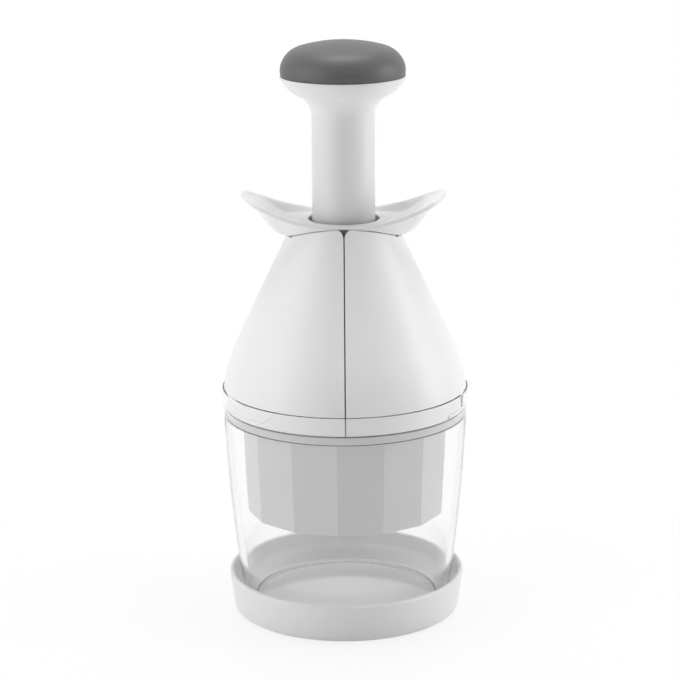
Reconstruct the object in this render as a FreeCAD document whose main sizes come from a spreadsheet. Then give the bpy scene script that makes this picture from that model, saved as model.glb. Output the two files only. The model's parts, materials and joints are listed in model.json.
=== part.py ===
import FreeCAD, Part
import math
import os
import re
import Sketcher

from FreeCAD import Placement, Rotation, Vector

# Plunger food chopper: a clear cup in a white dish, and a white bell housing that carries
# a spring plunger, a twisted spindle, a zigzag blade and a turning wiper disc.
# Millimetres, +Z up. The axis of the cup is the Z axis, the floor is Z = 0, and the front
# of the chopper, where the seam of the two half shells shows, looks along -Y.

# Driving dimensions
SIZES = {
    # base dish and its anti-slip ring
    "ring_proud": 0.4,
    "ring_depth": 1.2,
    "ring_radius": 36.0,
    "ring_width": 5.0,
    "dish_floor": 2.5,
    "dish_wall": 2.2,
    "dish_gap": 1.2,
    "dish_flare": 2.1,
    "dish_height": 17.2,
    "dish_edge": 1.0,
    "seat_width": 1.4,
    "seat_height": 1.2,
    "rest_gap": 0.2,
    "fit_gap": 0.3,
    # clear cup
    "cup_rim_radius": 53.0,
    "cup_taper": 7.1,
    "cup_height": 97.0,
    "cup_wall": 2.6,
    "cup_floor": 1.9,
    "cup_bow": 900.0,
    "cup_corner": 9.0,
    "foot_inset": 4.9,
    "foot_width": 3.0,
    "foot_lift": 0.5,
    "rim_wall": 1.3,
    "rim_land": 3.1,
    "mouth_depth": 12.1,
    "ledge_proud": 0.6,
    "ledge_height": 5.8,
    "ledge_span": 66.0,
    "ledge_start": 162.0,
    "ledge_ramp": 8.6,
    # bell shells
    "shell_wall": 2.0,
    "shell_inset": 0.6,
    "shell_lift": 0.3,
    "shoulder_rise": 20.2,
    "shoulder_width": 6.1,
    "shoulder_radius": 74.0,
    "bell_height": 72.5,
    "bell_top_gap": 2.8,
    "skirt_depth": 8.1,
    "seam_gap": 0.5,
    "notch_width": 2.4,
    "notch_depth": 3.2,
    "saddle_radius": 51.0,
    "lug_height": 1.4,
    "lug_drop": 0.6,
    "lug_span": 12.0,
    "lug_clear": 100.0,
    # shell hinges
    "hinge_reach": 2.3,
    "hinge_drop": 3.0,
    "hinge_radius": 2.2,
    "pin_radius": 1.25,
    "pin_gap": 0.05,
    "knuckle_length": 12.0,
    "ear_width": 3.0,
    "knuckle_gap": 0.4,
    # inner frame
    "tube_radius": 18.4,
    "tube_wall": 1.2,
    "tube_lip": 0.4,
    "tube_drop": 2.5,
    "collar_seat": 2.6,
    "bridge_floor": 4.0,
    "hub_gap": 0.6,
    "ring_wall": 2.7,
    "ring_height": 8.2,
    "rib_width": 2.4,
    "rib_height": 15.0,
    "nut_radius": 8.0,
    "nut_lip": 0.8,
    "nut_bore": 5.2,
    # blade guard
    "guard_gap": 6.8,
    "guard_taper": 2.0,
    "guard_wall": 1.9,
    "guard_lip": 3.0,
    "guard_lip_height": 1.2,
    "flange_height": 3.0,
    "nub_width": 7.0,
    "nub_height": 1.4,
    "facet_turn": 8.26,
    # wiper disc and blade
    "wiper_gap": 0.55,
    "wiper_height": 2.4,
    "slot_gap": 0.3,
    "blade_steel": 0.6,
    "blade_legs": 6,
    "blade_bend": 1.2,
    "blade_inset": 4.6,
    "blade_seat": 4.0,
    "blade_lift": 1.0,
    "blade_bevel": 2.5,
    "blade_tip": 0.12,
    "press_travel": 42.0,
    "press_margin": 1.0,
    # blade carrier and spindle
    "carrier_inset": 2.4,
    "carrier_height": 5.0,
    "hub_radius": 10.0,
    "hub_height": 4.9,
    "spindle_side": 6.0,
    "spindle_lead": 420.0,
    "spindle_play": 0.3,
    "tang_inset": 1.2,
    "shank_radius": 3.0,
    "shoulder_height": 2.6,
    "shoulder_proud": 2.5,
    "journal_radius": 2.9,
    "bearing_gap": 0.1,
    "washer_radius": 6.5,
    "washer_height": 1.0,
    "screw_radius": 1.6,
    "screw_head": 3.6,
    "screw_head_height": 2.4,
    "cross_pin_radius": 1.2,
    # spring and its seat
    "seat_plate": 1.2,
    "seat_screw_radius": 1.0,
    "seat_screw_head": 1.9,
    "seat_screw_height": 1.1,
    "spring_radius": 8.7,
    "spring_wire": 1.4,
    "spring_turns": 10,
    # plunger
    "stem_radius": 13.4,
    "stem_wall": 2.0,
    "stem_show": 59.8,
    "stop_height": 4.0,
    "bush_height": 8.0,
    "bush_gap": 0.5,
    "flare_rise": 16.7,
    "flare_radius": 9.5,
    "flare_turn_rise": 8.7,
    "flare_turn_out": 5.8,
    "flare_crown": 14.9,
    "head_radius": 26.6,
    "head_land": 0.6,
    "head_seat": 1.6,
    "core_drop": 18.0,
    "core_plate": 2.3,
    # knob grip
    "grip_radius": 26.15,
    "grip_side": 4.6,
    "grip_bulge": 9.7,
    "grip_height": 14.65,
    "grip_corner": 11.0,
    "grip_corner_in": 7.7,
    "grip_corner_rise": 7.5,
    "grip_cave_radius": 9.0,
    "grip_cave_height": 5.4,
    # collar
    "collar_half_length": 43.8,
    "collar_half_width": 20.4,
    "wing_tip_radius": 15.0,
    "wing_rise": 11.2,
    "collar_crown": 2.1,
    "rim_depth": 1.8,
    "wing_depth": 4.4,
    "hull_inset": 0.8,
    "hull_draft": 6.5,
    "hull_drop": 8.0,
    "hull_reach": 35.0,
    "hull_belly": 34.0,
    "hull_sweep": 60.0,
    "collar_gap": 0.25,
    "lip_width": 1.3,
    "dish_depth": 7.2,
    "dish_edge_depth": 0.3,
    "dish_reach": 34.5,
    "rim_lip": 1.1,
    "hull_wall": 1.4,
    "boss_radius": 22.4,
    "boss_slope": 1.4,
    "cavity_reach": 5.1,
    "cavity_half_width": 10.8,
    "cavity_roof": 2.6,
}

doc = FreeCAD.newDocument("plunger_food_chopper")
sheet = doc.addObject("Spreadsheet::Sheet", "Sizes")
for row, (alias, number) in enumerate(SIZES.items(), start=1):
    sheet.set(f"A{row}", alias.replace("_", " "))
    sheet.set(f"B{row}", str(number))
    sheet.setAlias(f"B{row}", alias)
doc.recompute()


# Levels and radii that several pieces share, as text made from the driving dimensions
FOOT = "(ring_proud + dish_floor + rest_gap)"
RIM = f"({FOOT} + cup_height)"
CUP_FLOOR = f"({FOOT} + foot_lift + cup_floor)"
CUP_BASE_RADIUS = "(cup_rim_radius - cup_taper)"
CUP_STEP = f"({RIM} - mouth_depth)"
MOUTH_RADIUS = "(cup_rim_radius - rim_wall)"
SKIRT_RADIUS = f"({MOUTH_RADIUS} - ledge_proud - fit_gap)"
SKIRT_FLOOR = f"({RIM} - skirt_depth)"

GUARD_TOP = f"({CUP_STEP} + rest_gap)"
GUARD_RADIUS = f"({MOUTH_RADIUS} - guard_gap)"
GUARD_LENGTH = "(press_travel + hub_gap)"
GUARD_FLOOR = f"({GUARD_TOP} - {GUARD_LENGTH})"
GUARD_FOOT_RADIUS = f"({GUARD_RADIUS} - guard_taper)"
GUARD_APOTHEM = f"(({GUARD_FOOT_RADIUS} - guard_wall) * cos(180 / 14))"
WIPER_FLOOR = f"({GUARD_FLOOR} + guard_lip_height + rest_gap)"
WIPER_TOP = f"({WIPER_FLOOR} + wiper_height)"

CARRIER_FLOOR = f"({WIPER_TOP} + press_margin + press_travel)"
CARRIER_TOP = f"({CARRIER_FLOOR} + carrier_height)"
HUB_TOP = f"({CARRIER_TOP} + hub_height)"
BRIDGE_FLOOR = f"({HUB_TOP} + hub_gap)"
BRIDGE_TOP = f"({BRIDGE_FLOOR} + bridge_floor)"
SEAT_TOP = f"({BRIDGE_TOP} + seat_plate)"
STEM_FLOOR = f"({SEAT_TOP} + seat_screw_height + press_margin + press_travel)"
STOP_TOP = f"({STEM_FLOOR} + stop_height)"
BUSH_FLOOR = f"({STOP_TOP} + bush_gap)"
TUBE_BORE = "(tube_radius - tube_wall)"

SADDLE_TOP = f"({RIM} + bell_height)"
COLLAR_TOP = f"({SADDLE_TOP} + collar_crown)"
COLLAR_SEAT = f"({SADDLE_TOP} - collar_seat)"
HEAD_TOP = f"({COLLAR_TOP} + stem_show)"
CORE_FLOOR = f"({HEAD_TOP} - core_drop)"
CORE_TOP = f"({HEAD_TOP} + core_plate)"
HINGE_X = "(tube_radius + hinge_reach)"
BELL_TOP_RADIUS = "(tube_radius + bell_top_gap)"
SEAT_SCREW_CIRCLE = "(spring_radius + spring_wire / 2 + seat_screw_head + bearing_gap * 3)"
HINGE_Z = f"({SADDLE_TOP} - hinge_drop)"


def linked(text):
    """The formula in text, with each size's name made a reference to its cell."""
    return re.sub(r"[a-z_]+", lambda word: f"Sizes.{word[0]}" if word[0] in SIZES else word[0], text)


def size(text):
    """The number that a formula gives."""
    return float(sheet.evalExpression(linked(text)))


def bind(item, place, text):
    """Tie a property of an object to a formula."""
    item.setExpression(place, linked(text))


# Sketches and features
def origin_part(body, role):
    """A plane or axis of the body's own origin."""
    return [part for part in body.Origin.OriginFeatures if part.Role == role][0]


def arc_between(start, end, radius):
    """A short arc from start to end: a positive radius bulges to the right of the way."""
    chord = end - start
    half = chord.Length / 2
    reach = math.sqrt(max(radius * radius - half * half, 0.0))
    side = Vector(chord.y, -chord.x, 0).normalize() * (1 if radius > 0 else -1)
    middle = (start + end) / 2 + side * (abs(radius) - reach)
    return Part.Arc(start, middle, end)


def fill_sketch(sketch, corners):
    """Draw a closed outline; a corner is (x, y), or (x, y, radius) where an arc ends at it."""
    places = [Vector(size(corner[0]), size(corner[1]), 0) for corner in corners]
    ends = []
    for number, corner in enumerate(corners):
        start = places[number - 1]
        end = places[number]
        if len(corner) == 2:
            edge = sketch.addGeometry(Part.LineSegment(start, end), False)
        else:
            edge = sketch.addGeometry(arc_between(start, end, size(corner[2])), False)
        first = sketch.getPoint(edge, 1)
        forward = (first - start).Length < (first - end).Length
        ends.append((edge, 1 if forward else 2, 2 if forward else 1))
    for number, corner in enumerate(corners):
        edge, head, tail = ends[number]
        before = ends[number - 1]
        sketch.addConstraint(Sketcher.Constraint("Coincident", before[0], before[2], edge, head))
    for number, corner in enumerate(corners):
        edge, head, tail = ends[number]
        for kind, axis, text in (("DistanceX", -2, corner[0]), ("DistanceY", -1, corner[1])):
            if text == "0":
                sketch.addConstraint(Sketcher.Constraint("PointOnObject", edge, tail, axis))
            else:
                rule = Sketcher.Constraint(kind, -1, 1, edge, tail, size(text))
                bind(sketch, f"Constraints[{sketch.addConstraint(rule)}]", text)
        if len(corner) == 3:
            rule = Sketcher.Constraint("Radius", edge, abs(size(corner[2])))
            text = corner[2].lstrip("-")
            bind(sketch, f"Constraints[{sketch.addConstraint(rule)}]", text)
    return sketch


def fill_circle(sketch, across, up, radius):
    """Draw one circle whose centre and radius are formulas."""
    circle = Part.Circle(Vector(size(across), size(up), 0), Vector(0, 0, 1), size(radius))
    edge = sketch.addGeometry(circle, False)
    for kind, axis, text in (("DistanceX", -2, across), ("DistanceY", -1, up)):
        if text == "0":
            sketch.addConstraint(Sketcher.Constraint("PointOnObject", edge, 3, axis))
        else:
            rule = Sketcher.Constraint(kind, -1, 1, edge, 3, size(text))
            bind(sketch, f"Constraints[{sketch.addConstraint(rule)}]", text)
    rule = Sketcher.Constraint("Radius", edge, size(radius))
    bind(sketch, f"Constraints[{sketch.addConstraint(rule)}]", radius)
    return sketch


def body_sketch(body, name, role, turn=None, lift=None, out=None):
    """An empty sketch on a plane of the body, turned about Z, lifted, or moved out from the axis."""
    sketch = body.newObject("Sketcher::SketchObject", name)
    sketch.AttachmentSupport = [(origin_part(body, role), "")]
    sketch.MapMode = "FlatFace"
    if turn is not None:
        sketch.AttachmentOffset = Placement(Vector(), Rotation(Vector(0, 1, 0), 1.0))
        bind(sketch, "AttachmentOffset.Rotation.Angle", turn)
    if out is not None:
        bind(sketch, "AttachmentOffset.Base.x", f"({out}) * sin({turn})")
        bind(sketch, "AttachmentOffset.Base.z", f"({out}) * cos({turn})")
    if lift is not None:
        bind(sketch, "AttachmentOffset.Base.z", lift)
    return sketch


def new_body(name):
    """An empty body that is one named piece of the chopper."""
    body = doc.addObject("PartDesign::Body", name)
    body.Label = name
    PIECES.append(body)
    return body


def spin(body, name, corners, angle="360", turn=None, both_ways=False):
    """Turn an outline in the XZ plane about the Z axis."""
    sketch = fill_sketch(body_sketch(body, f"{name}_outline", "XZ_Plane", turn), corners)
    feature = body.newObject("PartDesign::Revolution", name)
    feature.Profile = sketch
    feature.ReferenceAxis = (sketch, ["V_Axis"])
    feature.Midplane = both_ways
    bind(feature, "Angle", angle)
    return feature


def pad(body, name, sketch, length, both_ways=False, reverse=False):
    """Thicken a sketch by a length."""
    feature = body.newObject("PartDesign::Pad", name)
    feature.Profile = sketch
    feature.Midplane = both_ways
    feature.Reversed = reverse
    bind(feature, "Length", length)
    return feature


def pocket(body, name, sketch, length, both_ways=False, reverse=False):
    """Cut a sketch into the body by a length."""
    feature = body.newObject("PartDesign::Pocket", name)
    feature.Profile = sketch
    feature.Midplane = both_ways
    feature.Reversed = reverse
    bind(feature, "Length", length)
    return feature


def around(body, name, features, count, axis="Z_Axis"):
    """Repeat features evenly about an axis of the body."""
    doc.recompute()
    pattern = body.newObject("PartDesign::PolarPattern", name)
    pattern.Originals = features
    pattern.Axis = (origin_part(body, axis), [""])
    pattern.Angle = 360
    pattern.Occurrences = count
    body.Tip = pattern
    return pattern


def ring(name, inner, outer, low, high):
    """A plain ring as a turned body."""
    body = new_body(name)
    spin(body, f"{name}_turn", [(inner, low), (outer, low), (outer, high), (inner, high)])
    return body


# Free-standing shapes for the pieces that are built from blocks
def loose_sketch(name, upright):
    """A sketch outside any body, in the XZ plane when upright, else in the XY plane."""
    sketch = doc.addObject("Sketcher::SketchObject", name)
    if upright:
        sketch.Placement = Placement(Vector(), Rotation(Vector(1, 0, 0), 90))
    return sketch


def prism(name, sketch, ahead, behind="0", draft=None):
    """Thicken a loose sketch along its normal, forwards and backwards."""
    block = doc.addObject("Part::Extrusion", name)
    block.Base = sketch
    block.DirMode = "Normal"
    block.Solid = True
    bind(block, "LengthFwd", ahead)
    bind(block, "LengthRev", behind)
    if draft is not None:
        bind(block, "TaperAngleRev", draft)
    return block


def cylinder(name, radius, low, height):
    """A cylinder on the Z axis."""
    block = doc.addObject("Part::Cylinder", name)
    bind(block, "Radius", radius)
    bind(block, "Height", height)
    bind(block, "Placement.Base.z", low)
    return block


def blend_of(kind, name, base, tool):
    """A boolean of two shapes: Part::Cut, Part::Fuse or Part::Common."""
    result = doc.addObject(kind, name)
    if kind == "Part::MultiFuse":
        result.Shapes = [base, tool]
    else:
        result.Base = base
        result.Tool = tool
    return result


def kept(item, name):
    """Mark a shape as one named piece of the chopper."""
    item.Label = name
    PIECES.append(item)
    return item


def shaped(name, shape):
    """A feature that holds a shape made with the Part functions."""
    item = doc.addObject("Part::Feature", name)
    item.Shape = shape
    item.Placement = Placement()
    return item


PIECES = []


# Base dish and anti-slip ring
def base_dish():
    foot_inner = f"({CUP_BASE_RADIUS} - foot_inset)"
    inner_foot = f"({CUP_BASE_RADIUS} + dish_gap)"
    outer_foot = f"({inner_foot} + dish_wall)"
    outer_rim = f"({outer_foot} + dish_flare - dish_edge)"
    floor = "(ring_proud + dish_floor)"
    seat = f"({foot_inner} + fit_gap)"
    body = new_body("base_dish")
    spin(body, "dish_turn", [
        ("0", "ring_proud"),
        ("ring_radius - ring_width / 2", "ring_proud"),
        ("ring_radius - ring_width / 2", "ring_depth"),
        ("ring_radius + ring_width / 2", "ring_depth"),
        ("ring_radius + ring_width / 2", "ring_proud"),
        (f"{outer_foot} - dish_edge", "ring_proud"),
        (outer_foot, "ring_proud + dish_edge", "dish_edge * 1.05"),
        (f"{outer_rim} + dish_edge", "dish_height - dish_wall / 2"),
        (f"{outer_rim} + dish_edge - dish_wall / 2", "dish_height", "dish_wall * 0.52"),
        (f"{outer_rim} + dish_edge - dish_wall", "dish_height - dish_wall / 2", "dish_wall * 0.52"),
        (inner_foot, f"{floor} + dish_edge"),
        (f"{inner_foot} - dish_edge", floor, "-dish_edge * 1.05"),
        (f"{seat} + seat_width", floor),
        (f"{seat} + seat_width", f"{floor} + seat_height"),
        (seat, f"{floor} + seat_height"),
        (seat, floor),
        ("0", floor),
    ])


def anti_slip_ring():
    ring("anti_slip_ring", "ring_radius - ring_width / 2", "ring_radius + ring_width / 2", "0", "ring_depth")


# Clear cup with a stepped mouth and two bayonet ledges
def cup():
    foot = f"({CUP_BASE_RADIUS} - foot_inset)"
    body = new_body("cup")
    spin(body, "cup_turn", [
        ("0", f"{FOOT} + foot_lift"),
        (f"{foot} - foot_width", f"{FOOT} + foot_lift"),
        (f"{foot} - foot_width", FOOT),
        (foot, FOOT),
        (foot, f"{FOOT} + seat_height + fit_gap"),
        (CUP_BASE_RADIUS, f"{FOOT} + cup_corner", "cup_corner * 1.3"),
        ("cup_rim_radius", f"{RIM} - rim_land", "cup_bow"),
        ("cup_rim_radius", RIM),
        (MOUTH_RADIUS, RIM),
        (MOUTH_RADIUS, CUP_STEP),
        (f"{MOUTH_RADIUS} - cup_wall + rim_wall", CUP_STEP),
        (f"{CUP_BASE_RADIUS} - cup_wall", f"{FOOT} + cup_corner", "-(cup_bow - cup_wall)"),
        (f"{foot} - foot_width / 2", CUP_FLOOR, "-(cup_corner * 1.6)"),
        ("0", CUP_FLOOR),
    ])
    inner = f"({MOUTH_RADIUS} - ledge_proud)"
    low = f"({RIM} - ledge_height)"
    outer = f"({MOUTH_RADIUS} + rim_wall / 2)"
    ledge = spin(body, "ledge", [(inner, low), (outer, low), (outer, RIM), (inner, RIM)],
                 angle="ledge_span", turn="ledge_start")
    end = "(ledge_start + 90 + ledge_span)"
    slope = fill_sketch(body_sketch(body, "ramp_outline", "XZ_Plane", end, out=f"{inner} * 0.9995"), [
        ("0 - rim_wall / 2", low),
        ("rim_wall / 2", low),
        ("ledge_ramp", RIM),
        ("0 - rim_wall / 2", RIM),
    ])
    ramp = pad(body, "ramp", slope, "ledge_proud + rim_wall / 2")
    around(body, "ledges", [ledge, ramp], 2)


# Bell housing: two half shells with a seam at the front and the back
def saddle_height(across):
    return f"({SADDLE_TOP} - saddle_radius + sqrt(saddle_radius ^ 2 - ({across}) ^ 2))"


def half_shell(name, side):
    sign = "" if side > 0 else "0 - "
    outer = "(cup_rim_radius - shell_inset)"
    skirt_top = f"({RIM} + shell_lift)"
    shoulder = f"({skirt_top} + shoulder_rise)"
    shoulder_outer = f"({outer} - shoulder_width)"
    crest = f"({SADDLE_TOP} + 1)"
    bulge = "" if side > 0 else "-"
    hollow = "-" if side > 0 else ""

    def mirrored(corners):
        return [(f"{sign}({corner[0]})", *corner[1:]) for corner in corners]

    body = new_body(name)
    spin(body, f"{name}_bell", mirrored([
        (f"{SKIRT_RADIUS} - shell_wall", SKIRT_FLOOR),
        (SKIRT_RADIUS, SKIRT_FLOOR),
        (SKIRT_RADIUS, skirt_top),
        (outer, skirt_top),
        (shoulder_outer, shoulder, f"{bulge}shoulder_radius"),
        (BELL_TOP_RADIUS, crest),
        (f"{BELL_TOP_RADIUS} - shell_wall * 1.11", crest),
        (f"{shoulder_outer} - shell_wall * 1.11", shoulder),
        (f"{SKIRT_RADIUS} - shell_wall", f"{skirt_top} + shell_wall / 2", f"{hollow}(shoulder_radius - shell_wall)"),
    ]), angle="180", both_ways=True)

    seam = "(seam_gap / 2)"
    notch = f"({seam} + notch_width)"
    beyond = "(saddle_radius * 0.6)"
    trim = fill_sketch(body_sketch(body, f"{name}_trim_outline", "XZ_Plane"), mirrored([
        ("0 - 5", f"{SKIRT_FLOOR} - 5"),
        (seam, f"{SKIRT_FLOOR} - 5"),
        (seam, f"{SADDLE_TOP} - notch_depth"),
        (notch, saddle_height(notch), f"{hollow}(notch_depth * 1.15)"),
        (beyond, saddle_height(beyond), f"{hollow}saddle_radius"),
        (beyond, f"{SADDLE_TOP} + 9"),
        ("0 - 5", f"{SADDLE_TOP} + 9"),
    ]))
    pocket(body, f"{name}_trim", trim, "cup_rim_radius * 2.5", both_ways=True)

    slot_half = "(knuckle_length / 2 + knuckle_gap + ear_width + knuckle_gap)"
    slot = fill_sketch(body_sketch(body, f"{name}_slot_outline", "XZ_Plane"), mirrored([
        ("tube_radius - 3", f"{HINGE_Z} - hinge_radius - knuckle_gap"),
        (f"{HINGE_X} + hinge_radius + knuckle_gap", f"{HINGE_Z} - hinge_radius - knuckle_gap"),
        (f"{HINGE_X} + hinge_radius + knuckle_gap", f"{SADDLE_TOP} + 5"),
        ("tube_radius - 3", f"{SADDLE_TOP} + 5"),
    ]))
    pocket(body, f"{name}_slot", slot, f"{slot_half} * 2", both_ways=True)

    knuckle = fill_sketch(body_sketch(body, f"{name}_knuckle_outline", "XZ_Plane"), mirrored([
        (f"{HINGE_X} + hinge_radius", f"{HINGE_Z} - hinge_drop - hinge_radius"),
        (f"{HINGE_X} + hinge_radius", HINGE_Z),
        (f"{HINGE_X} - hinge_radius", HINGE_Z, f"{bulge}hinge_radius * 1.001"),
        (f"{HINGE_X} - hinge_radius * 0.2", f"{HINGE_Z} - hinge_drop - hinge_radius"),
    ]))
    pad(body, f"{name}_knuckle", knuckle, "knuckle_length", both_ways=True)
    bore = fill_circle(body_sketch(body, f"{name}_bore_outline", "XZ_Plane"),
                       f"{sign}{HINGE_X}", HINGE_Z, "pin_radius + pin_gap")
    pocket(body, f"{name}_bore", bore, f"{slot_half} * 2", both_ways=True)

    lug_top = f"({RIM} - ledge_height - lug_drop)"
    lug_inner = f"({SKIRT_RADIUS} - shell_wall / 2)"
    lug_outer = f"({SKIRT_RADIUS} + ledge_proud)"
    start = "(ledge_start + ledge_span + lug_clear)"
    start = start if side > 0 else f"({start} - 180)"
    spin(body, f"{name}_lug", [
        (lug_inner, f"{lug_top} - lug_height"),
        (lug_outer, f"{lug_top} - lug_height"),
        (lug_outer, lug_top),
        (lug_inner, lug_top),
    ], angle="lug_span", turn=start)


# Inner frame: guide tube, bridge with the nut pocket, ribs, lower ring and hinge ears
def inner_frame():
    body = new_body("inner_frame")
    tube_top = f"({COLLAR_TOP} - tube_drop)"
    spin(body, "tube", [
        ("nut_bore", BRIDGE_FLOOR),
        ("tube_radius", BRIDGE_FLOOR),
        ("tube_radius", COLLAR_SEAT),
        ("tube_radius - tube_lip", COLLAR_SEAT),
        ("tube_radius - tube_lip", tube_top),
        (f"{TUBE_BORE} - tube_wall", tube_top),
        (f"{TUBE_BORE} - tube_wall", BRIDGE_TOP),
        ("nut_bore", BRIDGE_TOP),
    ])
    hexagon = [(f"nut_radius * cos({60 * number})", f"nut_radius * sin({60 * number})") for number in range(6)]
    hexagon[0] = ("nut_radius", "0")
    hexagon[3] = ("0 - nut_radius", "0")
    nut_pocket = fill_sketch(body_sketch(body, "nut_outline", "XY_Plane", lift=BRIDGE_TOP), hexagon)
    pocket(body, "nut_pocket", nut_pocket, "bridge_floor - nut_lip")

    ring_outer = f"({SKIRT_RADIUS} - shell_wall - fit_gap)"
    ring_inner = f"({ring_outer} - ring_wall)"
    ring_floor = f"({GUARD_TOP} + flange_height)"
    ring_top = f"({ring_floor} + ring_height)"
    rib = fill_sketch(body_sketch(body, "rib_outline", "XZ_Plane", "45"), [
        (f"{TUBE_BORE} + tube_wall / 2", BRIDGE_FLOOR),
        (f"{TUBE_BORE} + tube_wall / 2", f"{BRIDGE_FLOOR} + rib_height"),
        (f"{ring_inner} + ring_wall / 2", ring_top),
        (f"{ring_inner} + ring_wall / 2", f"{CARRIER_FLOOR} + hub_gap"),
        (f"{ring_inner} - ring_wall", f"{CARRIER_TOP} + hub_gap * 2"),
    ])
    first_rib = pad(body, "rib", rib, "rib_width", both_ways=True)
    around(body, "ribs", [first_rib], 4)
    spin(body, "lower_ring", [
        (ring_inner, ring_floor),
        (ring_outer, ring_floor),
        (ring_outer, ring_top),
        (ring_inner, ring_top),
    ])

    ear_half = "(knuckle_length / 2 + knuckle_gap + ear_width)"
    for side, word in ((1, "right"), (-1, "left")):
        sign = "" if side > 0 else "0 - "
        bulge = "" if side > 0 else "-"
        ear = fill_sketch(body_sketch(body, f"{word}_ear_outline", "XZ_Plane"), [
            (f"{sign}({TUBE_BORE} - tube_wall)", f"{HINGE_Z} - hinge_radius * 2"),
            (f"{sign}({HINGE_X})", f"{HINGE_Z} - hinge_radius"),
            (f"{sign}({HINGE_X})", f"{HINGE_Z} + hinge_radius", f"{bulge}hinge_radius * 1.001"),
            (f"{sign}({TUBE_BORE} - tube_wall)", f"{HINGE_Z} + hinge_radius"),
        ])
        pad(body, f"{word}_ears", ear, f"{ear_half} * 2", both_ways=True)
        gap = fill_sketch(body_sketch(body, f"{word}_gap_outline", "XZ_Plane"), [
            (f"{sign}(tube_radius - knuckle_gap / 2)", f"{HINGE_Z} - hinge_radius * 3"),
            (f"{sign}({HINGE_X} + hinge_radius * 2)", f"{HINGE_Z} - hinge_radius * 3"),
            (f"{sign}({HINGE_X} + hinge_radius * 2)", f"{HINGE_Z} + hinge_radius * 2"),
            (f"{sign}(tube_radius - knuckle_gap / 2)", f"{HINGE_Z} + hinge_radius * 2"),
        ])
        pocket(body, f"{word}_gap", gap, "knuckle_length + knuckle_gap * 2", both_ways=True)
        bore = fill_circle(body_sketch(body, f"{word}_pin_outline", "XZ_Plane"),
                           f"{sign}{HINGE_X}", HINGE_Z, "pin_radius")
        pocket(body, f"{word}_pin_bore", bore, f"{ear_half} * 2 + 1", both_ways=True)
    clear = fill_sketch(body_sketch(body, "clear_outline", "XZ_Plane"), [
        ("0", BRIDGE_TOP),
        (TUBE_BORE, BRIDGE_TOP),
        (TUBE_BORE, f"{tube_top} + 1"),
        ("0", f"{tube_top} + 1"),
    ])
    bore = body.newObject("PartDesign::Groove", "clear_bore")
    bore.Profile = clear
    bore.ReferenceAxis = (clear, ["V_Axis"])
    bore.Angle = 360


def hinge_pins():
    length = "((knuckle_length / 2 + knuckle_gap + ear_width) * 2)"
    pins = []
    for side, word in ((1, "right"), (-1, "left")):
        pin = doc.addObject("Part::Cylinder", f"{word}_hinge_pin")
        pin.Placement = Placement(Vector(), Rotation(Vector(1, 0, 0), 90))
        bind(pin, "Radius", "pin_radius")
        bind(pin, "Height", length)
        bind(pin, "Placement.Base.x", f"{HINGE_X}" if side > 0 else f"0 - {HINGE_X}")
        bind(pin, "Placement.Base.y", f"{length} / 2")
        bind(pin, "Placement.Base.z", HINGE_Z)
        pins.append(pin)
    group = doc.addObject("Part::Compound", "hinge_pins")
    group.Links = pins
    kept(group, "hinge_pins")


def guide_bush():
    body = new_body("guide_bush")
    low = BUSH_FLOOR
    high = f"({BUSH_FLOOR} + bush_height)"
    spin(body, "bush_turn", [
        ("stem_radius + bearing_gap", low),
        (TUBE_BORE, low),
        (TUBE_BORE, high),
        ("stem_radius + bearing_gap + tube_lip", high),
        ("stem_radius + bearing_gap", f"{high} - tube_lip"),
    ])


# Blade guard: a fourteen-sided sleeve under a round flange
def polygon(name, radius, low):
    outline = doc.addObject("Part::RegularPolygon", name)
    outline.Polygon = 14
    outline.Placement = Placement(Vector(), Rotation(Vector(0, 0, 1), 1.0))
    bind(outline, "Circumradius", radius)
    bind(outline, "Placement.Base.z", low)
    bind(outline, "Placement.Rotation.Angle", "facet_turn")
    return outline


def faceted(name, lower, low, upper, high):
    block = doc.addObject("Part::Loft", name)
    block.Sections = [polygon(f"{name}_low", lower, low), polygon(f"{name}_high", upper, high)]
    block.Solid = True
    block.Ruled = True
    return block


def blade_guard():
    top = f"({GUARD_TOP} + flange_height)"
    hollow_floor = f"({GUARD_FLOOR} + guard_lip_height)"
    sleeve = faceted("sleeve", GUARD_FOOT_RADIUS, GUARD_FLOOR, GUARD_RADIUS, top)
    flange = cylinder("flange", SKIRT_RADIUS, GUARD_TOP, "flange_height")
    hollow = faceted("sleeve_hollow", f"{GUARD_FOOT_RADIUS} - guard_wall", hollow_floor,
                     f"{GUARD_RADIUS} - guard_wall", f"{top} + 1")
    mouth = cylinder("guard_mouth", f"{GUARD_APOTHEM} - guard_lip", f"{GUARD_FLOOR} - 1", "guard_lip_height + 2")
    body = blend_of("Part::MultiFuse", "guard_body", sleeve, flange)
    body = blend_of("Part::Cut", "guard_hollowed", body, hollow)
    body = blend_of("Part::Cut", "guard_open", body, mouth)
    nubs = []
    for number in range(3):
        nub = doc.addObject("Part::Box", f"guard_nub_{number}")
        angle = math.radians(120 * number)
        nub.Placement = Placement(Vector(), Rotation(Vector(0, 0, 1), 120 * number))
        reach = f"({GUARD_APOTHEM} - wiper_gap * 2)"
        bind(nub, "Length", "wiper_gap * 2 + guard_wall / 2")
        bind(nub, "Width", "nub_width")
        bind(nub, "Height", "nub_height")
        across, up = round(math.cos(angle), 6), round(math.sin(angle), 6)
        bind(nub, "Placement.Base.x", f"{reach} * {across} + nub_width / 2 * {up}")
        bind(nub, "Placement.Base.y", f"{reach} * {up} - nub_width / 2 * {across}")
        bind(nub, "Placement.Base.z", f"{WIPER_TOP} + rest_gap")
        nubs.append(nub)
    guard = doc.addObject("Part::MultiFuse", "blade_guard")
    guard.Shapes = [body] + nubs
    kept(guard, "blade_guard")


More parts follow.
